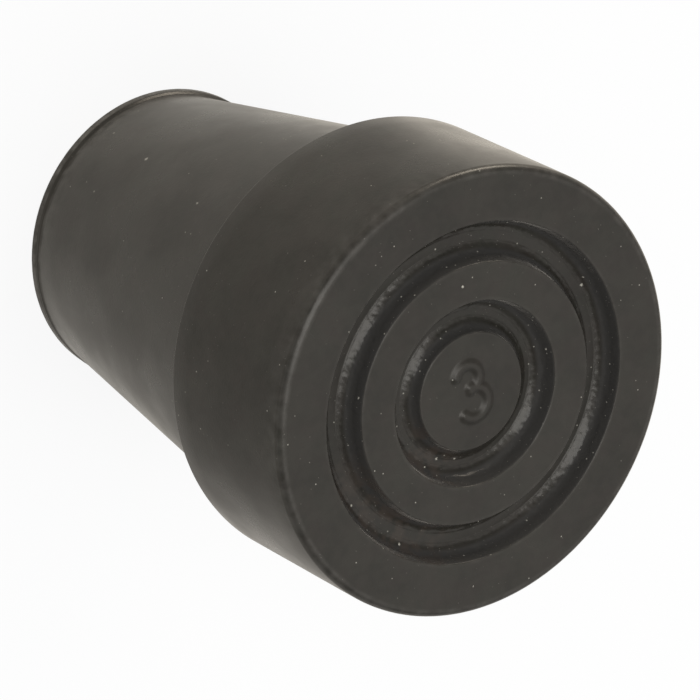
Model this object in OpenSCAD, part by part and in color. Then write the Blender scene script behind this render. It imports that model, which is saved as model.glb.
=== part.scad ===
// Rubber tip for a walking cane: one moulded piece, with a broad ringed foot,
// a tapered stem and a blind bore that grips the end of the cane.
// It stands on the rim of its mouth, with the sole up. The origin is the centre
// of the mouth, on the bore's axis, and +Z points out of the sole.

/* [Overall] */
// Height from the rim of the mouth to the sole
total_h = 47.5; // [44:0.5:56]

/* [Foot] */
// Diameter of the foot
foot_d = 38; // [36:0.5:44]
// Height of the foot, from the shoulder to the sole
foot_h = 15.4; // [14:0.2:18]
// Rounding of the edge round the sole
sole_edge_r = 0.6; // [0.3:0.1:1]
// Rounding of the foot's back edge, at the shoulder
shoulder_edge_r = 0.3; // [0.2:0.1:0.6]
// Fillet where the shoulder runs into the stem
shoulder_fillet_r = 0.5; // [0.3:0.1:0.8]

/* [Stem] */
// Diameter of the stem where it meets the foot
stem_base_d = 34.4; // [32:0.2:35]
// Diameter of the stem just above the lip at the mouth
stem_mouth_d = 25.5; // [24.5:0.1:28]

/* [Lip] */
// Height of the lip round the mouth
lip_h = 0.9; // [0.7:0.1:1.4]
// How far the lip stands out from the stem
lip_out = 0.3; // [0.2:0.05:0.5]
// Rounding of the lip's outer edges
lip_edge_r = 0.18; // [0.1:0.02:0.2]

/* [Bore] */
// Diameter of the bore that grips the cane
bore_d = 19; // [17:0.5:20]
// Depth of the bore, from the mouth to its floor
bore_depth = 32; // [28:0.5:36]
// Width of the chamfer that leads the cane into the bore
bore_lead_in = 0.8; // [0.4:0.1:1.2]
// Fillet round the floor of the bore
bore_floor_r = 1; // [0.5:0.1:2]

/* [Sole] */
// Diameter of the disc in the middle of the sole
disc_d = 10; // [9:0.2:11]
// How far the disc lies below the sole
disc_recess = 0.65; // [0.4:0.05:0.8]
// Width of the groove round the disc
inner_groove_w = 2.85; // [2.6:0.05:3.2]
// Width of the flat ring between the two grooves
ring_w = 3.25; // [2.8:0.05:3.6]
// Width of the outer groove
outer_groove_w = 3.3; // [2.9:0.05:3.6]
// Depth of both grooves below the sole
groove_depth = 1.8; // [1.5:0.05:2]
// Rounding at the foot of the grooves' walls
groove_floor_r = 1.15; // [0.8:0.05:1.2]
// Slope of the grooves' walls from upright, in degrees
groove_draft = 12; // [8:1:16]

/* [Mould number] */
// Radius of the number's upper bowl, along the middle of its stroke
upper_bowl_r = 1.15; // [0.9:0.05:1.3]
// Radius of the number's lower bowl
lower_bowl_r = 1.35; // [1.1:0.05:1.5]
// Width of the stroke
stroke_w = 0.76; // [0.5:0.02:0.9]
// How far the number stands out of the disc
stroke_relief = 0.25; // [0.15:0.05:0.35]
// How deep the two bowls merge at the number's waist
waist_merge = 0.2; // [0.1:0.05:0.3]
// Sweep of each bowl, in degrees
bowl_sweep = 240; // [210:5:260]

/* [Hidden] */
$fn = 96;

// How far a cut runs past the surface that it opens
cut_past = 1;
// How far a shape runs into the one that it joins
join_past = 1;
// How far a side ends inside the rounding that it meets
round_bite = 0.005;
rubber = [0.26, 0.25, 0.235];

foot_r = foot_d / 2;
shoulder_z = total_h - foot_h;
stem_base_r = stem_base_d / 2;
stem_mouth_r = stem_mouth_d / 2;
stem_taper = atan((stem_base_r - stem_mouth_r) / (shoulder_z - lip_h));
bore_r = bore_d / 2;

// The sole's rings, from the middle outwards
disc_r = disc_d / 2;
disc_z = total_h - disc_recess;
inner_groove_out = disc_r + inner_groove_w;
outer_groove_in = inner_groove_out + ring_w;
outer_groove_out = outer_groove_in + outer_groove_w;

// Half section of a disc with rounded outer edges, from z0 up to z1
module rounded_disc_2d(r, z0, z1, low_r, high_r) {
    translate([0, z0 + low_r]) square([r, z1 - z0 - low_r - high_r]);
    translate([0, z0]) square([r - low_r, low_r]);
    translate([r - low_r, z0 + low_r]) circle(low_r);
    translate([0, z1 - high_r]) square([r - high_r, high_r]);
    translate([r - high_r, z1 - high_r]) circle(high_r);
}

// Half section of the tapered stem, carried up into the foot
module stem_2d() {
    polygon([
        [0, 0],
        [stem_mouth_r, 0],
        [stem_mouth_r, lip_h],
        [stem_base_r, shoulder_z],
        [stem_base_r, shoulder_z + join_past],
        [0, shoulder_z + join_past]
    ]);
}

// Web that fills the corner between the stem and the shoulder with a round
module shoulder_fillet_2d() {
    across = shoulder_fillet_r * (1 - sin(stem_taper)) / cos(stem_taper);
    middle = [stem_base_r + across, shoulder_z - shoulder_fillet_r];
    on_stem = middle - shoulder_fillet_r * [cos(stem_taper), -sin(stem_taper)];
    difference() {
        polygon([
            on_stem,
            middle,
            [middle[0], shoulder_z],
            [middle[0], shoulder_z + join_past],
            [on_stem[0] - join_past, shoulder_z + join_past],
            [on_stem[0] - join_past, on_stem[1]]
        ]);
        translate(middle) circle(shoulder_fillet_r);
    }
}

// Section of a groove cut down into the sole, with sloping walls and a deeply rounded floor
module groove_2d(r_in, r_out) {
    straight = groove_depth - groove_floor_r;
    reach = groove_floor_r - round_bite;
    inset = (reach + straight * sin(groove_draft)) / cos(groove_draft);
    side = reach * [cos(groove_draft), sin(groove_draft)];
    low = [r_in + inset, total_h - straight];
    high = [r_out - inset, total_h - straight];
    polygon([
        [r_in, total_h + cut_past],
        [r_in, total_h],
        low - side,
        low,
        low - [0, reach],
        high - [0, reach],
        high,
        high + [side[0], -side[1]],
        [r_out, total_h],
        [r_out, total_h + cut_past]
    ]);
    translate(low) circle(groove_floor_r);
    translate(high) circle(groove_floor_r);
}

// Section of everything that is cut out of the sole
module sole_cuts_2d() {
    // the disc's own edge lies on the sloping wall of the groove round it
    groove_2d(disc_r - disc_recess * tan(groove_draft), inner_groove_out);
    groove_2d(outer_groove_in, outer_groove_out);
    // this cut ends in the middle of that groove
    translate([0, disc_z]) square([disc_r + inner_groove_w / 2, disc_recess + cut_past]);
}

// Half section of the blind bore, with its lead-in and a round corner at its floor
module bore_2d() {
    translate([0, -cut_past]) square([bore_r, cut_past + bore_depth - bore_floor_r]);
    square([bore_r - bore_floor_r, bore_depth]);
    translate([bore_r - bore_floor_r, bore_depth - bore_floor_r]) circle(bore_floor_r);
    polygon([
        [0, -cut_past],
        [bore_r + bore_lead_in + cut_past, -cut_past],
        [bore_r, bore_lead_in],
        [0, bore_lead_in]
    ]);
}

// Plan of one open bowl of the number: a bent stroke with round ends
module bowl_2d(r, from) {
    stroke_r = stroke_w / 2;
    // a fan of three corners past the ring opens its mouth
    reach = 2 * (r + stroke_r);
    half_gap = (360 - bowl_sweep) / 2;
    difference() {
        circle(r + stroke_r);
        circle(r - stroke_r);
        polygon([[0, 0], for (k = [0:2]) reach * [cos(from - k * half_gap), sin(from - k * half_gap)]]);
    }
    for (end = [from, from + bowl_sweep])
        translate(r * [cos(end), sin(end)]) circle(stroke_r + round_bite);
}

// The plain raised 3 in the middle of the disc: two open bowls that merge at its waist
module mould_number() {
    upper_y = upper_bowl_r - waist_merge / 2;
    lower_y = lower_bowl_r - waist_merge / 2;
    // the middle of the number's height lies on the tip's axis
    waist_y = (lower_y + lower_bowl_r - upper_y - upper_bowl_r) / 2;
    translate([0, waist_y, disc_z - stroke_relief]) linear_extrude(2 * stroke_relief) {
        translate([0, upper_y]) bowl_2d(upper_bowl_r, -90);
        translate([0, -lower_y]) bowl_2d(lower_bowl_r, 90 - bowl_sweep);
    }
}

module cane_tip() {
    color(rubber) {
        rotate_extrude() difference() {
            union() {
                rounded_disc_2d(foot_r, shoulder_z, total_h, shoulder_edge_r, sole_edge_r);
                stem_2d();
                shoulder_fillet_2d();
                rounded_disc_2d(stem_mouth_r + lip_out, 0, lip_h, lip_edge_r, lip_edge_r);
            }
            sole_cuts_2d();
            bore_2d();
        }
        mould_number();
    }
}

cane_tip();
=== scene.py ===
"""Rubber tip for a walking cane, dressed for rendering: one round moulding with two ring grooves
and a raised number in its sole, standing on the rim of its mouth on a pale floor."""

import math

import bpy
from mathutils import Matrix, Vector


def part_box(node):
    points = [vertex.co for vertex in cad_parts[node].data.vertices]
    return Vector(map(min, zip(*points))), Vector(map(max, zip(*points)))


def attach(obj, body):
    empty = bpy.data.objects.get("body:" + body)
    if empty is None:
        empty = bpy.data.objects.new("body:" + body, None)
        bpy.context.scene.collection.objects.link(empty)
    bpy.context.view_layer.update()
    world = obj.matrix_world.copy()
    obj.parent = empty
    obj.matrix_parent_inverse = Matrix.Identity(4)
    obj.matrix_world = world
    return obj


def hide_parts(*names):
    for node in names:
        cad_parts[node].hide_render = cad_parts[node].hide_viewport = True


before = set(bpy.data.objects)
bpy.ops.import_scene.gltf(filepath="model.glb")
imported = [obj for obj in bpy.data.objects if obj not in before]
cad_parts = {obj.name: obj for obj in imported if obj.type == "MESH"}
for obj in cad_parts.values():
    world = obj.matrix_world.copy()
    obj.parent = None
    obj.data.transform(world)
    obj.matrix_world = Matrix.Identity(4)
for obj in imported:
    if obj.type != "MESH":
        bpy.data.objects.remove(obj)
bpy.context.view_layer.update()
mm = 0.001


# ---------------------------------------------------------------------------------------------
# The tip: one moulding of dark grey rubber, cured in a turned steel mould, so that every surface
# is round about one axis. The broad foot takes the ground, the tapered stem and its blind bore
# grip the cane, and a raised number marks the disc in the middle of the sole.
# ---------------------------------------------------------------------------------------------

tip_low, tip_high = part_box("cane_tip")
sole_z = tip_high.z
foot_r = tip_high.x
shoulder_z = sole_z - 15.4 * mm
sole_edge_round = 0.6 * mm
shoulder_edge_round = 0.15 * mm
shoulder_fillet = 0.5 * mm

stem_base_r = 17.2 * mm
stem_mouth_r = 12.75 * mm
lip_height = 0.9 * mm
lip_out = 0.2 * mm
lip_offset = Vector((0.12, 0.1, 0)) * mm
lip_swell = 0.7 * mm
lip_round = 0.16 * mm
lip_soft_round = 0.7 * mm

bore_r = 9.5 * mm
bore_depth = 32 * mm
bore_lead_in = 0.8 * mm
bore_floor_round = 1 * mm

disc_r = 5 * mm
disc_z = sole_z - 0.65 * mm
groove_floor_z = sole_z - 1.8 * mm
groove_floor_round = 1.15 * mm
groove_edge_round = 0.12 * mm
groove_draft = math.tan(math.radians(12))
inner_groove_out = disc_r + 2.85 * mm
outer_groove_in = inner_groove_out + 3.25 * mm
outer_groove_out = outer_groove_in + 3.3 * mm

number_upper_r = 1.15 * mm
number_lower_r = 1.35 * mm
number_stroke = 0.76 * mm
number_relief = 0.2 * mm
number_softness = 0.65 * mm
number_waist = 0.2 * mm
number_sweep = math.radians(240)

ripple_depth = 0.03 * mm
ripple_scale = 900
nick_depth = 0.05 * mm
nick_scale = 1800

# spacing of the outline's points on straights and on arcs, and how many steps one turn has
fine, middling, coarse = 0.1 * mm, 0.25 * mm, 2 * mm
arc_spacing = 0.14 * mm
turns = 336
# how far a point may lie from a groove and still belong to it
groove_slack = 0.02 * mm


def half_section():
    """Corners of the tip's half section, from the middle of the sole round to the floor of the bore:
    (radius, height, rounding, spacing of the points that lead up to it, how far the corner is worn)."""
    draft_run = (sole_z - groove_floor_z) * groove_draft
    disc_run = (disc_z - groove_floor_z) * groove_draft
    return [
        (0, disc_z, 0, fine, 0),
        (disc_r, disc_z, groove_edge_round, fine, 0.15),
        (disc_r + disc_run, groove_floor_z, groove_floor_round, fine, 0),
        (inner_groove_out - draft_run, groove_floor_z, groove_floor_round, fine, 0),
        (inner_groove_out, sole_z, groove_edge_round, fine, 0.15),
        (outer_groove_in, sole_z, groove_edge_round, middling, 0.15),
        (outer_groove_in + draft_run, groove_floor_z, groove_floor_round, fine, 0),
        (outer_groove_out - draft_run, groove_floor_z, groove_floor_round, fine, 0),
        (outer_groove_out, sole_z, groove_edge_round, fine, 0.15),
        (foot_r, sole_z, sole_edge_round, middling, 0.3),
        (foot_r, shoulder_z, shoulder_edge_round, coarse, 0),
        (stem_base_r, shoulder_z, shoulder_fillet, middling, 0),
        # the lip's wear also paints it pale, partly as a painted highlight along its edge
        (stem_mouth_r, lip_height + lip_swell / 2, lip_soft_round, coarse, 0.6),
        (stem_mouth_r + lip_out, lip_height - lip_swell / 2, lip_soft_round, fine, 1),
        (stem_mouth_r + lip_out, 0, lip_round, middling, 0.5),
        (bore_r + bore_lead_in, 0, lip_round, middling, 0.5),
        (bore_r, bore_lead_in, lip_round, middling, 0),
        (bore_r, bore_depth, bore_floor_round, coarse, 0),
        (0, bore_depth, 0, coarse, 0),
    ]


def rounded(corners):
    """Points along an outline and how far each is worn: an arc at each corner, and straights in steps."""
    points = []
    for k, (radius, height, rounding, spacing, wear) in enumerate(corners):
        corner = Vector((radius, height))
        turn = [corner]
        if rounding:
            back = (Vector(corners[k - 1][:2]) - corner).normalized()
            on = (Vector(corners[k + 1][:2]) - corner).normalized()
            half_angle = back.angle(on) / 2
            centre = corner + (back + on).normalized() * rounding / math.sin(half_angle)
            start = corner + back * rounding / math.tan(half_angle) - centre
            end = corner + on * rounding / math.tan(half_angle) - centre
            sweep = -start.angle_signed(end)
            count = max(4, round(abs(sweep) * rounding / arc_spacing))
            turn = [centre + Matrix.Rotation(sweep * n / count, 2) @ start for n in range(count + 1)]
        if points:
            last = points[-1][0]
            count = max(1, round((turn[0] - last).length / spacing))
            points += [(last.lerp(turn[0], n / count), 0) for n in range(1, count)]
        points += [(point, wear) for point in turn]
    return points


def add(tree, kind, inputs=None, **settings):
    """A new node with its settings, its inputs given a value or joined to another node's socket."""
    node = tree.nodes.new(kind)
    for name, value in settings.items():
        setattr(node, name, value)
    for name, value in (inputs or {}).items():
        if isinstance(value, bpy.types.NodeSocket):
            tree.links.new(value, node.inputs[name])
        else:
            node.inputs[name].default_value = value
    return node


def calc(tree, operation, *values):
    """The output of one sum on numbers, in a geometry tree or a material."""
    return add(tree, "ShaderNodeMath", dict(enumerate(values)), operation=operation).outputs[0]


def step_between(tree, value, low, high):
    """0 up to low, 1 from high, and a smooth step between them."""
    inputs = {"Value": value, "From Min": low, "From Max": high}
    return add(tree, "ShaderNodeMapRange", inputs, interpolation_type="SMOOTHSTEP").outputs["Result"]


def turned_moulding_tree():
    """Turns an outline about the upright axis, then raises the number in the middle of the sole."""
    tree = bpy.data.node_groups.new("turned_moulding", "GeometryNodeTree")
    sockets = {"Outline": "Geometry", "Turns": "Int", "Rubber": "Material", "Disc Height": "Float"}
    sockets.update({"Lip Offset": "Vector", "Ripple": "Float", "Ripple Scale": "Float"})
    sockets.update({"Nicks": "Float", "Nick Scale": "Float"})
    for name in ("Upper Bowl", "Lower Bowl", "Stroke", "Relief", "Softness", "Waist", "Sweep"):
        sockets["Number " + name] = "Float"
    for name, kind in sockets.items():
        tree.interface.new_socket(name, in_out="INPUT", socket_type="NodeSocket" + kind)
    tree.interface.new_socket("Moulding", in_out="OUTPUT", socket_type="NodeSocketGeometry")
    given = add(tree, "NodeGroupInput").outputs
    tau = 2 * math.pi

    # a flat grid has one row for each point of the outline and one column for each turn, and it is
    # turned clockwise, so that its faces look outwards
    rows = add(tree, "GeometryNodeAttributeDomainSize", {"Geometry": given["Outline"]}).outputs["Point Count"]
    columns = calc(tree, "ADD", given["Turns"], 1)
    sheet = add(tree, "GeometryNodeMeshGrid", {"Vertices X": columns, "Vertices Y": rows}).outputs["Mesh"]
    index = add(tree, "GeometryNodeInputIndex").outputs["Index"]
    column = calc(tree, "FLOOR", calc(tree, "DIVIDE", calc(tree, "ADD", index, 0.5), rows))
    row = calc(tree, "SUBTRACT", index, calc(tree, "MULTIPLY", column, rows))
    angle = calc(tree, "MULTIPLY", calc(tree, "DIVIDE", column, given["Turns"]), -tau)

    position = add(tree, "GeometryNodeInputPosition").outputs["Position"]
    inputs = {"Geometry": given["Outline"], "Value": position, "Index": row}
    on_outline = add(tree, "GeometryNodeSampleIndex", inputs, data_type="FLOAT_VECTOR").outputs["Value"]
    inputs = {"Vector": on_outline, "Angle": angle}
    turned = add(tree, "ShaderNodeVectorRotate", inputs, rotation_type="Z_AXIS").outputs["Vector"]
    skin = add(tree, "GeometryNodeSetPosition", {"Geometry": sheet, "Position": turned}).outputs["Geometry"]
    for name in ("wear", "lip", "groove", "groove_shine", "groove_wall"):
        mask = add(tree, "GeometryNodeInputNamedAttribute", {"Name": name}).outputs["Attribute"]
        inputs = {"Geometry": given["Outline"], "Value": mask, "Index": row}
        mask = add(tree, "GeometryNodeSampleIndex", inputs).outputs["Value"]
        inputs = {"Geometry": skin, "Name": name, "Value": mask}
        skin = add(tree, "GeometryNodeStoreNamedAttribute", inputs).outputs["Geometry"]
    inputs = {"Geometry": skin, "Distance": 0.001 * mm}
    skin = add(tree, "GeometryNodeMergeByDistance", inputs).outputs["Geometry"]

    # the lip sits a little out of line with the stem, so that it stands out further on one side
    lip = add(tree, "GeometryNodeInputNamedAttribute", {"Name": "lip"}).outputs["Attribute"]
    out = add(tree, "ShaderNodeVectorMath", {0: given["Lip Offset"], "Scale": lip}, operation="SCALE")
    out = out.outputs["Vector"]
    skin = add(tree, "GeometryNodeSetPosition", {"Geometry": skin, "Offset": out}).outputs["Geometry"]

    # the number is two open bowls, each an arc that starts or ends where they meet
    disc_height, sweep = given["Disc Height"], given["Number Sweep"]
    merge = calc(tree, "DIVIDE", given["Number Waist"], 2)
    upper_y = calc(tree, "SUBTRACT", given["Number Upper Bowl"], merge)
    lower_y = calc(tree, "SUBTRACT", given["Number Lower Bowl"], merge)
    whole = calc(tree, "SUBTRACT", given["Number Lower Bowl"], given["Number Upper Bowl"])
    middle = calc(tree, "DIVIDE", calc(tree, "SUBTRACT", calc(tree, "ADD", lower_y, whole), upper_y), 2)
    bowls = (
        (given["Number Upper Bowl"], -tau / 4, calc(tree, "ADD", middle, upper_y)),
        (
            given["Number Lower Bowl"],
            calc(tree, "SUBTRACT", tau / 4, sweep),
            calc(tree, "SUBTRACT", middle, lower_y),
        ),
    )
    strokes = add(tree, "GeometryNodeJoinGeometry")
    for radius, start, y in bowls:
        inputs = {"Resolution": 64, "Radius": radius, "Start Angle": start, "Sweep Angle": sweep}
        bowl = add(tree, "GeometryNodeCurveArc", inputs, mode="RADIUS").outputs["Curve"]
        place = add(tree, "ShaderNodeCombineXYZ", {"Y": y, "Z": disc_height}).outputs["Vector"]
        moved = add(tree, "GeometryNodeTransform", {"Geometry": bowl, "Translation": place})
        bowl = moved.outputs["Geometry"]
        tree.links.new(bowl, strokes.inputs["Geometry"])
    line = add(tree, "GeometryNodeCurveToMesh", {"Curve": strokes.outputs["Geometry"]}).outputs["Mesh"]
    away = add(tree, "GeometryNodeProximity", {"Geometry": line}, target_element="EDGES").outputs["Distance"]
    half_stroke = calc(tree, "DIVIDE", given["Number Stroke"], 2)
    half_soft = calc(tree, "DIVIDE", given["Number Softness"], 2)
    outer = calc(tree, "ADD", half_stroke, half_soft)
    rise = step_between(tree, away, outer, calc(tree, "SUBTRACT", half_stroke, half_soft))
    up = add(tree, "ShaderNodeCombineXYZ", {"Z": calc(tree, "MULTIPLY", rise, given["Number Relief"])})
    inputs = {"Geometry": skin, "Offset": up.outputs["Vector"]}
    skin = add(tree, "GeometryNodeSetPosition", inputs).outputs["Geometry"]

    # the cut of the mould left faint ripples in the grooves, and the worn edges are nicked, all inwards
    normal = add(tree, "GeometryNodeInputNormal").outputs["Normal"]
    for mask, depth, scale in (("groove", "Ripple", "Ripple Scale"), ("wear", "Nicks", "Nick Scale")):
        mask = add(tree, "GeometryNodeInputNamedAttribute", {"Name": mask}).outputs["Attribute"]
        inputs = {"Vector": position, "Scale": given[scale], "Detail": 2}
        noise = add(tree, "ShaderNodeTexNoise", inputs).outputs["Fac"]
        out = calc(tree, "MULTIPLY", mask, given[depth])
        out = calc(tree, "MULTIPLY", out, calc(tree, "SUBTRACT", noise, 1))
        out = add(tree, "ShaderNodeVectorMath", {0: normal, "Scale": out}, operation="SCALE")
        inputs = {"Geometry": skin, "Offset": out.outputs["Vector"]}
        skin = add(tree, "GeometryNodeSetPosition", inputs).outputs["Geometry"]

    skin = add(tree, "GeometryNodeSetShadeSmooth", {"Geometry": skin}).outputs["Geometry"]
    skin = add(tree, "GeometryNodeRealizeInstances", {"Geometry": skin}).outputs["Geometry"]
    skin = add(tree, "GeometryNodeSetMaterial", {"Geometry": skin, "Material": given["Rubber"]})
    add(tree, "NodeGroupOutput", {"Moulding": skin.outputs["Geometry"]})
    return tree


def made_by_nodes(name, start, tree, values):
    """A plain mesh object from what the tree makes of the start mesh, with these values at its inputs."""
    maker = bpy.data.objects.new(name + "_start", start)
    bpy.context.scene.collection.objects.link(maker)
    modifier = maker.modifiers.new("maker", "NODES")
    modifier.node_group = tree
    for socket in tree.interface.items_tree:
        if socket.in_out == "INPUT" and socket.name in values:
            modifier[socket.identifier] = values[socket.name]
    finished = maker.evaluated_get(bpy.context.evaluated_depsgraph_get())
    piece = bpy.data.objects.new(name, bpy.data.meshes.new_from_object(finished))
    bpy.context.scene.collection.objects.link(piece)
    maker.modifiers.remove(modifier)
    bpy.data.objects.remove(maker)
    return piece


# larger grains of dust: azimuth in degrees, then distance from the axis and radius in millimetres
dust_on_sole = (
    (11, 13.4, 0.16), (13.5, 13.7, 0.1), (-135, 13.6, 0.16), (-132, 6.2, 0.16), (-115, 6.1, 0.12),
    (80.5, 9.4, 0.15), (-162, 13.3, 0.14), (153, 11.2, 0.12), (85, 12.6, 0.1), (-2, 7.7, 0.14),
    (-146, 14.4, 0.1), (-140, 7.1, 0.1), (-128, 7.7, 0.08), (85, 2.5, 0.14), (-108, 16.6, 0.08),
)
# scuffs: azimuth in degrees, then height and radius in millimetres
scuffs_on_stem = (
    (108, 11.7, 0.25), (116, 23, 0.16), (124, 5.7, 0.1),
    (126, 6.6, 0.13), (102, 2.6, 0.12), (174, 27.3, 0.14),
)
dirty_side = Vector((-0.83, -0.56, 0))

deep_rubber, cloudy_rubber = (0.0135, 0.0125, 0.0100, 1), (0.0185, 0.0175, 0.0140, 1)
reddish_rubber, mottled_rubber = (0.0215, 0.0165, 0.0145, 1), (0.028, 0.026, 0.021, 1)
dull_wall = (0.034, 0.0325, 0.0305, 1)
brown_dirt = (0.044, 0.033, 0.026, 1)
# pale worn edges, which also serve as a painted highlight, most of all along the lip
pale_wear_and_highlight = (0.105, 0.098, 0.088, 1)
pale_dust = (0.36, 0.34, 0.29, 1)


def blend(tree, share, start, end):
    """A colour that goes from start to end with the share."""
    return add(tree, "ShaderNodeMix", {"Factor": share, 6: start, 7: end}, data_type="RGBA").outputs[2]


def vector(tree, operation, first, second=None):
    """The output of one sum on vectors; the second value of SCALE is a number."""
    inputs = {0: first} if second is None else {0: first, "Scale" if operation == "SCALE" else 1: second}
    node = add(tree, "ShaderNodeVectorMath", inputs, operation=operation)
    return node.outputs["Value" if operation in ("DOT_PRODUCT", "DISTANCE") else "Vector"]


def noise_of(tree, place, scale, detail, low, high):
    """Noise of that scale, cut so that it is 0 below low and 1 above high."""
    inputs = {"Vector": place, "Scale": scale, "Detail": detail}
    return step_between(tree, add(tree, "ShaderNodeTexNoise", inputs).outputs["Fac"], low, high)


def rubber_material(stations):
    """Dark warm grey rubber: matt lands, smooth grooves with dull walls, fine grain, dust, and wear that
    partly paints a highlight.
    """
    material = bpy.data.materials.new("moulded_rubber")
    material.use_nodes = True
    tree = material.node_tree
    tree.nodes.clear()
    place = add(tree, "ShaderNodeTexCoord").outputs["Object"]
    groove = add(tree, "ShaderNodeAttribute", attribute_name="groove").outputs["Fac"]
    wall = add(tree, "ShaderNodeAttribute", attribute_name="groove_wall").outputs["Fac"]
    shine = add(tree, "ShaderNodeAttribute", attribute_name="groove_shine").outputs["Fac"]
    wear = add(tree, "ShaderNodeAttribute", attribute_name="wear").outputs["Fac"]

    # the rubber itself is cloudy over a few millimetres and mottled over a few tenths
    cloudy = noise_of(tree, place, 160, 3, 0.35, 0.65)
    mottled = noise_of(tree, place, 1400, 2, 0.3, 0.7)
    tinted = noise_of(tree, place, 420, 2, 0.35, 0.65)
    colour = blend(tree, cloudy, deep_rubber, cloudy_rubber)
    colour = blend(tree, calc(tree, "MULTIPLY", tinted, 0.35), colour, reddish_rubber)
    colour = blend(tree, calc(tree, "MULTIPLY", mottled, 0.25), colour, mottled_rubber)
    colour = blend(tree, wall, colour, dull_wall)

    # brown dirt has gathered on one side of the grooves; worn edges are paler, in part a painted highlight
    outwards = vector(tree, "NORMALIZE", vector(tree, "MULTIPLY", place, (1, 1, 0)))
    toward = step_between(tree, vector(tree, "DOT_PRODUCT", outwards, dirty_side), 0.75, 1)
    dirt = calc(tree, "MULTIPLY", toward, noise_of(tree, place, 700, 3, 0.4, 0.6))
    dirt = calc(tree, "MULTIPLY", dirt, groove)
    colour = blend(tree, calc(tree, "MULTIPLY", dirt, 0.5), colour, brown_dirt)
    # painted highlight: the paler worn edges also stand in for light caught along the lip
    wear_and_highlight_share = calc(tree, "MULTIPLY", wear, noise_of(tree, place, 1000, 3, 0.2, 0.8))
    colour = blend(tree, calc(tree, "MULTIPLY", wear_and_highlight_share, 0.8), colour, pale_wear_and_highlight)

    # grains of pale dust: a few larger ones, and fine ones that lie thickest in the grooves
    shake = add(tree, "ShaderNodeTexNoise", {"Vector": place, "Scale": 9000, "Detail": 1}).outputs["Color"]
    shake = vector(tree, "SCALE", vector(tree, "SUBTRACT", shake, (0.5, 0.5, 0.5)), 0.2 * mm)
    shaken = vector(tree, "ADD", place, shake)
    sole = [s for s in stations if s.y > shoulder_z]
    stem = [s for s in stations if s.x > bore_r + bore_lead_in and s.y < shoulder_z]
    spots = []
    for azimuth, radius, size in dust_on_sole:
        spots.append((azimuth, min(sole, key=lambda s: abs(s.x - radius * mm)), size, 1))
    for azimuth, height, size in scuffs_on_stem:
        spots.append((azimuth, min(stem, key=lambda s: abs(s.y - height * mm)), size, 0.6))
    dust = None
    for azimuth, station, size, share in spots:
        angle = math.radians(azimuth)
        middle = Vector((math.cos(angle) * station.x, math.sin(angle) * station.x, station.y))
        spot = step_between(tree, vector(tree, "DISTANCE", shaken, middle), size * mm, size * mm * 0.3)
        spot = calc(tree, "MULTIPLY", spot, share)
        dust = calc(tree, "MAXIMUM", dust, spot) if dust else spot
    for scale, share in ((1500, 0.7), (3200, 0.4)):
        cells = add(tree, "ShaderNodeTexVoronoi", {"Vector": place, "Scale": scale})
        chance = add(tree, "ShaderNodeSeparateColor", {"Color": cells.outputs["Color"]}).outputs["Red"]
        chance = calc(tree, "ADD", chance, calc(tree, "MULTIPLY", groove, 0.35))
        grain = step_between(tree, cells.outputs["Distance"], 0.13, 0.04)
        grain = calc(tree, "MULTIPLY", grain, calc(tree, "GREATER_THAN", chance, 0.9))
        dust = calc(tree, "MAXIMUM", dust, calc(tree, "MULTIPLY", grain, share))
    colour = blend(tree, dust, colour, pale_dust)

    inputs = {"Value": cloudy, "To Min": 0.36, "To Max": 0.27}
    roughness = add(tree, "ShaderNodeMapRange", inputs).outputs["Result"]
    for share, level in ((shine, 0.22), (wall, 0.2), (dust, 0.8), (wear_and_highlight_share, 0.42)):
        roughness = add(tree, "ShaderNodeMix", {"Factor": share, 2: roughness, 3: level}).outputs[0]

    # fine grain all over, ripples in the smooth grooves, and the dust stands out a little
    grain = add(tree, "ShaderNodeTexNoise", {"Vector": place, "Scale": 4500, "Detail": 3}).outputs["Fac"]
    ripple = add(tree, "ShaderNodeTexNoise", {"Vector": place, "Scale": 1300, "Detail": 1}).outputs["Fac"]
    raised = calc(tree, "MULTIPLY", calc(tree, "MULTIPLY", ripple, shine), 9)
    raised = calc(tree, "ADD", calc(tree, "ADD", grain, raised), calc(tree, "MULTIPLY", dust, 2))
    bump = add(tree, "ShaderNodeBump", {"Height": raised, "Strength": 0.25, "Distance": 0.03 * mm})
    surface = {
        "Base Color": colour,
        "Roughness": roughness,
        "Specular IOR Level": 0.33,
        "Specular Tint": (1, 0.95, 0.88, 1),
        "Sheen Weight": 0.15,
        "Sheen Roughness": 0.3,
        "Sheen Tint": (1, 0.92, 0.82, 1),
        "Normal": bump.outputs["Normal"],
    }
    shader = add(tree, "ShaderNodeBsdfPrincipled", surface)
    add(tree, "ShaderNodeOutputMaterial", {"Surface": shader.outputs["BSDF"]})
    return material


def sloping(station, before, after, low, high):
    """How far a point of the outline is in a groove, where its slope goes from low up to high."""
    rings = ((disc_r, inner_groove_out), (outer_groove_in, outer_groove_out))
    inside = any(start - groove_slack < station.x < end + groove_slack for start, end in rings)
    if not inside or station.y < groove_floor_z - groove_slack:
        return 0
    slope = abs((after - before).normalized().y)
    return min(1, max(0, (slope - low) / (high - low)))


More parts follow.
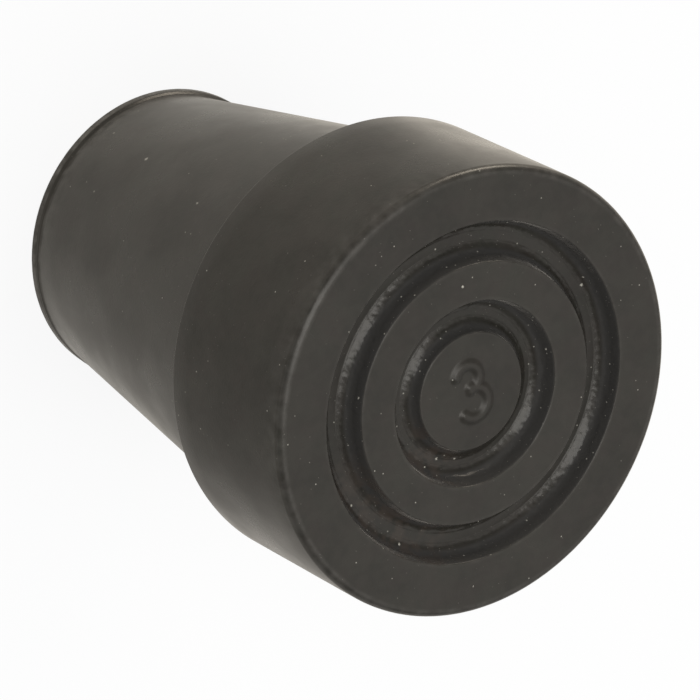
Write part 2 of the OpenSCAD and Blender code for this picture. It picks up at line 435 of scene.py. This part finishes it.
stations, wear = zip(*rounded(half_section()))
around = list(zip(stations, stations[:1] + stations, stations[1:] + stations[-1:]))
masks = {
    "wear": wear,
    "lip": [s.x > stem_mouth_r + lip_out / 2 and s.y < lip_height for s in stations],
    "groove": [sloping(*near, -1, 0) for near in around],
    "groove_shine": [sloping(*near, 0.06, 0.14) for near in around],
    "groove_wall": [sloping(*near, 0.5, 0.7) for near in around],
}
outline = bpy.data.meshes.new("half_section")
outline.from_pydata([(s.x, 0, s.y) for s in stations], [(n, n + 1) for n in range(len(stations) - 1)], [])
for name, values in masks.items():
    outline.attributes.new(name, "FLOAT", "POINT").data.foreach_set("value", [float(v) for v in values])
sizes = {
    "Turns": turns,
    "Rubber": rubber_material(stations),
    "Disc Height": disc_z,
    "Lip Offset": lip_offset,
    "Ripple": ripple_depth,
    "Ripple Scale": ripple_scale,
    "Nicks": nick_depth,
    "Nick Scale": nick_scale,
    "Number Upper Bowl": number_upper_r,
    "Number Lower Bowl": number_lower_r,
    "Number Stroke": number_stroke,
    "Number Relief": number_relief,
    "Number Softness": number_softness,
    "Number Waist": number_waist,
    "Number Sweep": number_sweep,
}
tip = made_by_nodes("rubber_tip", outline, turned_moulding_tree(), sizes)
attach(tip, "root")
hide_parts("cane_tip")


# ---------------------------------------------------------------------------------------------
# The floor: a wide pale sheet that the tip stands on. It looks white to the eye, and takes a soft
# shadow. In the tip's gloss it shows a painted reflection: painted tones, brighter behind the tip
# and towards the side lamp than in front of it.
# ---------------------------------------------------------------------------------------------

floor_reach = 2.0
floor_colour = (0.7, 0.7, 0.7, 1)
white_to_camera = 0.88
# level lines away from the camera and across its view, and the floor's painted tones in gloss
away = Vector((0.632, -0.775, 0))
across = Vector((0.775, 0.632, 0))
front_painted_dim, front_painted_lit = (0.60, 0.575, 0.53, 1), (0.74, 0.71, 0.65, 1)
back_painted_dim, back_painted_lit = (0.74, 0.705, 0.65, 1), (1.34, 1.24, 1.08, 1)


def floor_material():
    """A matt floor that is nearly white to the camera and shows a painted reflection in gloss."""
    material = bpy.data.materials.new("pale_floor")
    material.use_nodes = True
    tree = material.node_tree
    tree.nodes.clear()
    lit = add(tree, "ShaderNodeBsdfDiffuse", {"Color": floor_colour}).outputs["BSDF"]
    white = add(tree, "ShaderNodeEmission", {"Color": (1, 1, 1, 1), "Strength": 1}).outputs["Emission"]

    # painted reflection: in gloss the floor is painted brightest behind the tip, on the side lamp's side, and
    # darker far to the sides
    place = add(tree, "ShaderNodeTexCoord").outputs["Object"]
    aside = vector(tree, "DOT_PRODUCT", place, across)
    lamp_side = step_between(tree, aside, -40 * mm, 40 * mm)
    front = blend(tree, lamp_side, front_painted_dim, front_painted_lit)
    back = blend(tree, lamp_side, back_painted_dim, back_painted_lit)
    behind = step_between(tree, vector(tree, "DOT_PRODUCT", place, away), -5 * mm, 20 * mm)
    tone = blend(tree, behind, front, back)
    far_aside = step_between(tree, calc(tree, "ABSOLUTE", aside), 24 * mm, 50 * mm)
    tone = blend(tree, calc(tree, "MULTIPLY", far_aside, 0.2), tone, (0, 0, 0, 1))
    # painted reflection: an emission seen in gloss only, standing in for the floor as the side lamp lights it
    painted_reflection = add(tree, "ShaderNodeEmission", {"Color": tone, "Strength": 1}).outputs["Emission"]

    ray = add(tree, "ShaderNodeLightPath").outputs
    to_camera = calc(tree, "MULTIPLY", ray["Is Camera Ray"], white_to_camera)
    in_gloss = calc(tree, "MAXIMUM", ray["Is Glossy Ray"], ray["Is Transmission Ray"])
    mixed = add(tree, "ShaderNodeMixShader", {"Fac": to_camera, 1: lit, 2: white}).outputs["Shader"]
    mixed = add(tree, "ShaderNodeMixShader", {"Fac": in_gloss, 1: mixed, 2: painted_reflection}).outputs["Shader"]
    add(tree, "ShaderNodeOutputMaterial", {"Surface": mixed})
    return material


corners = [(x * floor_reach, y * floor_reach, tip_low.z) for x, y in ((-1, -1), (1, -1), (1, 1), (-1, 1))]
floor_mesh = bpy.data.meshes.new("floor")
floor_mesh.from_pydata(corners, [], [(0, 1, 2, 3)])
floor_mesh.materials.append(floor_material())
floor = bpy.data.objects.new("floor", floor_mesh)
bpy.context.scene.collection.objects.link(floor)


# ---------------------------------------------------------------------------------------------
# The camera: looks down on the sole from over the tip's shoulder, turned on its side so that the
# stem runs off to the upper left.
# ---------------------------------------------------------------------------------------------

camera_azimuth = math.radians(219.2)
camera_elevation = math.radians(50.9)
camera_roll = math.radians(116.85)
camera_distance = 450 * mm
camera_lens = 288.7
aim_left_of_sole = 10.08 * mm
aim_above_sole = 3.52 * mm

toward = Vector((math.sin(camera_azimuth), -math.cos(camera_azimuth), 0))
to_camera = toward * math.cos(camera_elevation) + Vector((0, 0, math.sin(camera_elevation)))
level_right = to_camera.cross(Vector((0, 0, 1))).normalized() * -1
level_up = to_camera.cross(level_right)
right = level_right * math.cos(camera_roll) + level_up * math.sin(camera_roll)
up = to_camera.cross(right)
aim = Vector((0, 0, sole_z)) - right * aim_left_of_sole + up * aim_above_sole

lens = bpy.data.cameras.new("camera")
lens.lens = camera_lens
lens.clip_start = 10 * mm
lens.clip_end = 10
camera = bpy.data.objects.new("camera", lens)
turn = Matrix((right, up, to_camera)).transposed().to_4x4()
camera.matrix_world = Matrix.Translation(aim + to_camera * camera_distance) @ turn
bpy.context.scene.collection.objects.link(camera)
bpy.context.scene.camera = camera


# ---------------------------------------------------------------------------------------------
# The light: an even white surround, a soft warm lamp at one side, and a long one overhead that
# reaches from behind the tip to the camera's side.
# ---------------------------------------------------------------------------------------------

surround_strength = 0.93
dim_in_gloss, bright_in_gloss = 0.28, 0.97

world = bpy.data.worlds.new("surround")
world.use_nodes = True
tree = world.node_tree
tree.nodes.clear()

# in gloss the surround is bright overhead and down to the far side, and dim elsewhere
sky = add(tree, "ShaderNodeTexCoord").outputs["Generated"]
height = add(tree, "ShaderNodeSeparateXYZ", {"Vector": sky}).outputs["Z"]
far_side = step_between(tree, vector(tree, "DOT_PRODUCT", sky, away), -0.5, -0.38)
middle = step_between(tree, calc(tree, "ABSOLUTE", vector(tree, "DOT_PRODUCT", sky, across)), 0.46, 0.34)
patch = calc(tree, "MULTIPLY", far_side, middle)
patch = calc(tree, "MULTIPLY", patch, step_between(tree, height, 0.38, 0.5))
bright = calc(tree, "MAXIMUM", patch, step_between(tree, height, 0.15, 0.05))
inputs = {"Value": bright, "To Min": dim_in_gloss, "To Max": bright_in_gloss}
in_gloss = add(tree, "ShaderNodeMapRange", inputs).outputs["Result"]
ray = add(tree, "ShaderNodeLightPath").outputs
glossy = calc(tree, "MAXIMUM", ray["Is Glossy Ray"], ray["Is Transmission Ray"])
strength = add(tree, "ShaderNodeMix", {"Factor": glossy, 2: surround_strength, 3: in_gloss}).outputs[0]
strength = add(tree, "ShaderNodeMix", {"Factor": ray["Is Camera Ray"], 2: strength, 3: 1}).outputs[0]
surround = add(tree, "ShaderNodeBackground", {"Color": (1, 1, 1, 1), "Strength": strength})
add(tree, "ShaderNodeOutputWorld", {"Surface": surround.outputs["Background"]})
bpy.context.scene.world = world


def soft_lamp(name, direction, distance, width_along, width, depth, watts, colour):
    """A lamp of that width and depth, that far from the middle of the tip and facing it."""
    light = bpy.data.lights.new(name, "AREA")
    light.shape = "RECTANGLE"
    light.size = width
    light.size_y = depth
    light.energy = watts
    light.color = colour
    facing = direction.normalized()
    level = facing.cross(width_along).normalized()
    lamp = bpy.data.objects.new(name, light)
    turn = Matrix((level.cross(facing), level, facing)).transposed().to_4x4()
    lamp.matrix_world = Matrix.Translation(Vector((0, 0, sole_z / 2)) + facing * distance) @ turn
    bpy.context.scene.collection.objects.link(lamp)


upright = Vector((0, 0, 1))
low_aside = across + upright * 0.07
soft_lamp("side_lamp", low_aside, 0.6, away, width=0.3, depth=0.3, watts=2.8, colour=(1, 0.92, 0.8))
overhead = upright - away * 0.24
soft_lamp("overhead_lamp", overhead, 1.2, away, width=1.5, depth=0.4, watts=7.2, colour=(0.96, 0.98, 1))

scene = bpy.context.scene
scene.view_settings.view_transform = "Standard"
